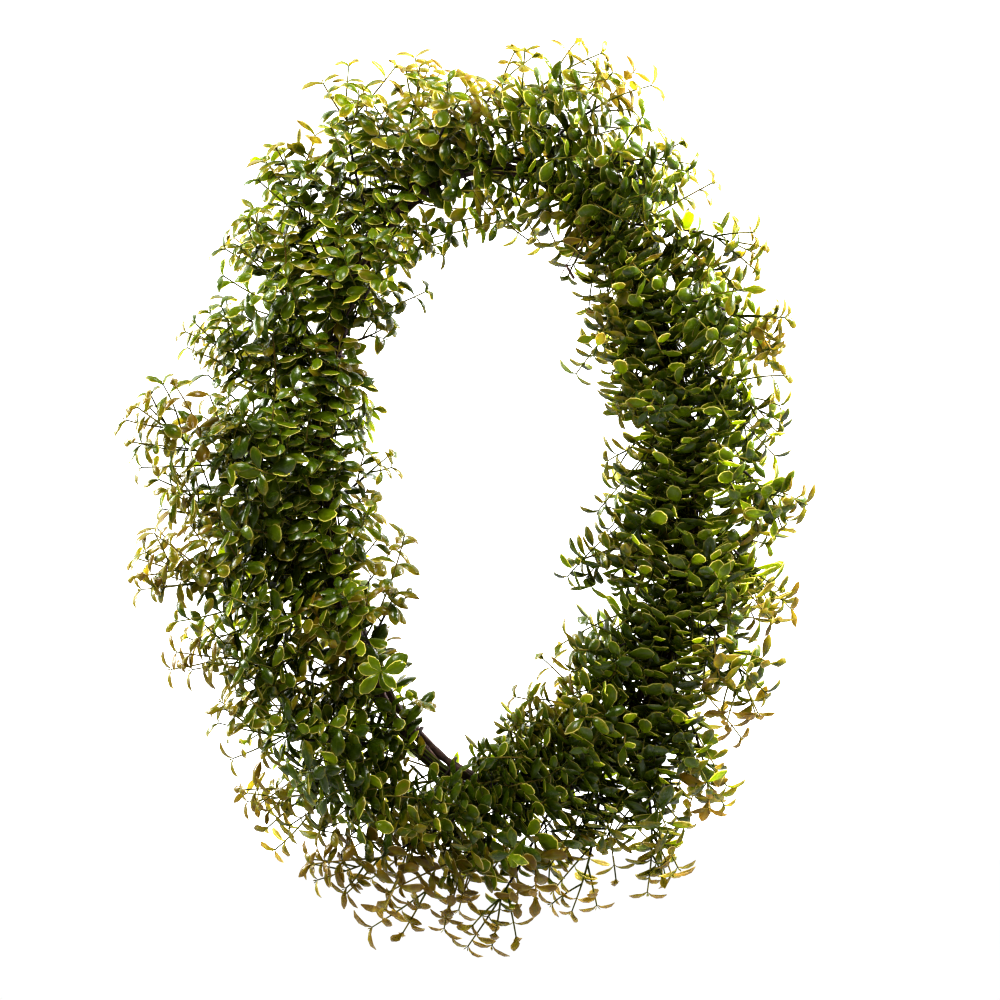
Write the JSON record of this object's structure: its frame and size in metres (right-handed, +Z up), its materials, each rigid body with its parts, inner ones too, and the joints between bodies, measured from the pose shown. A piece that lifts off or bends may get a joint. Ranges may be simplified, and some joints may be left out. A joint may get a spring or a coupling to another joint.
{
  "type": "boxwood wreath",
  "caption": "Oval hanging wreath of variegated boxwood sprays, laid clockwise and wound by their wire stems on a ring of coiled vine.",
  "frame": {"origin": "where a hook carries the ring: under the bundle of vine at the top, right above the middle of the oval", "axes": "+Z up as it hangs, the front of the wreath faces -Y, +X to the right as seen from the front"},
  "size_m": [0.551, 0.1238, 0.7606],
  "materials": {
    "vine": "rough, reddish-brown dried vine with bark",
    "foliage": "leathery green leaves with a narrow cream margin, turning olive to bronze at the tips, on dark brown wrapped wire stems"
  },
  "bodies": {
    "root": {"vine_long": "vine", "vine_short": "vine", "spray_01": "foliage", "spray_02": "foliage", "spray_03": "foliage", "spray_04": "foliage", "spray_05": "foliage", "spray_06": "foliage", "spray_07": "foliage", "spray_08": "foliage", "spray_09": "foliage", "spray_10": "foliage", "spray_11": "foliage", "spray_12": "foliage", "spray_13": "foliage", "spray_14": "foliage", "spray_15": "foliage", "spray_16": "foliage", "spray_17": "foliage", "spray_18": "foliage", "spray_19": "foliage", "spray_20": "foliage", "spray_21": "foliage", "spray_22": "foliage", "spray_23": "foliage", "spray_24": "foliage", "spray_25": "foliage", "spray_26": "foliage", "spray_27": "foliage", "spray_28": "foliage", "spray_29": "foliage", "spray_30": "foliage", "spray_31": "foliage", "spray_32": "foliage", "spray_33": "foliage", "spray_34": "foliage", "spray_35": "foliage", "spray_36": "foliage", "spray_37": "foliage", "spray_38": "foliage", "spray_39": "foliage", "spray_40": "foliage", "spray_41": "foliage", "spray_42": "foliage", "spray_43": "foliage", "spray_44": "foliage", "spray_45": "foliage", "spray_46": "foliage", "spray_47": "foliage"}
  },
  "joints": []
}
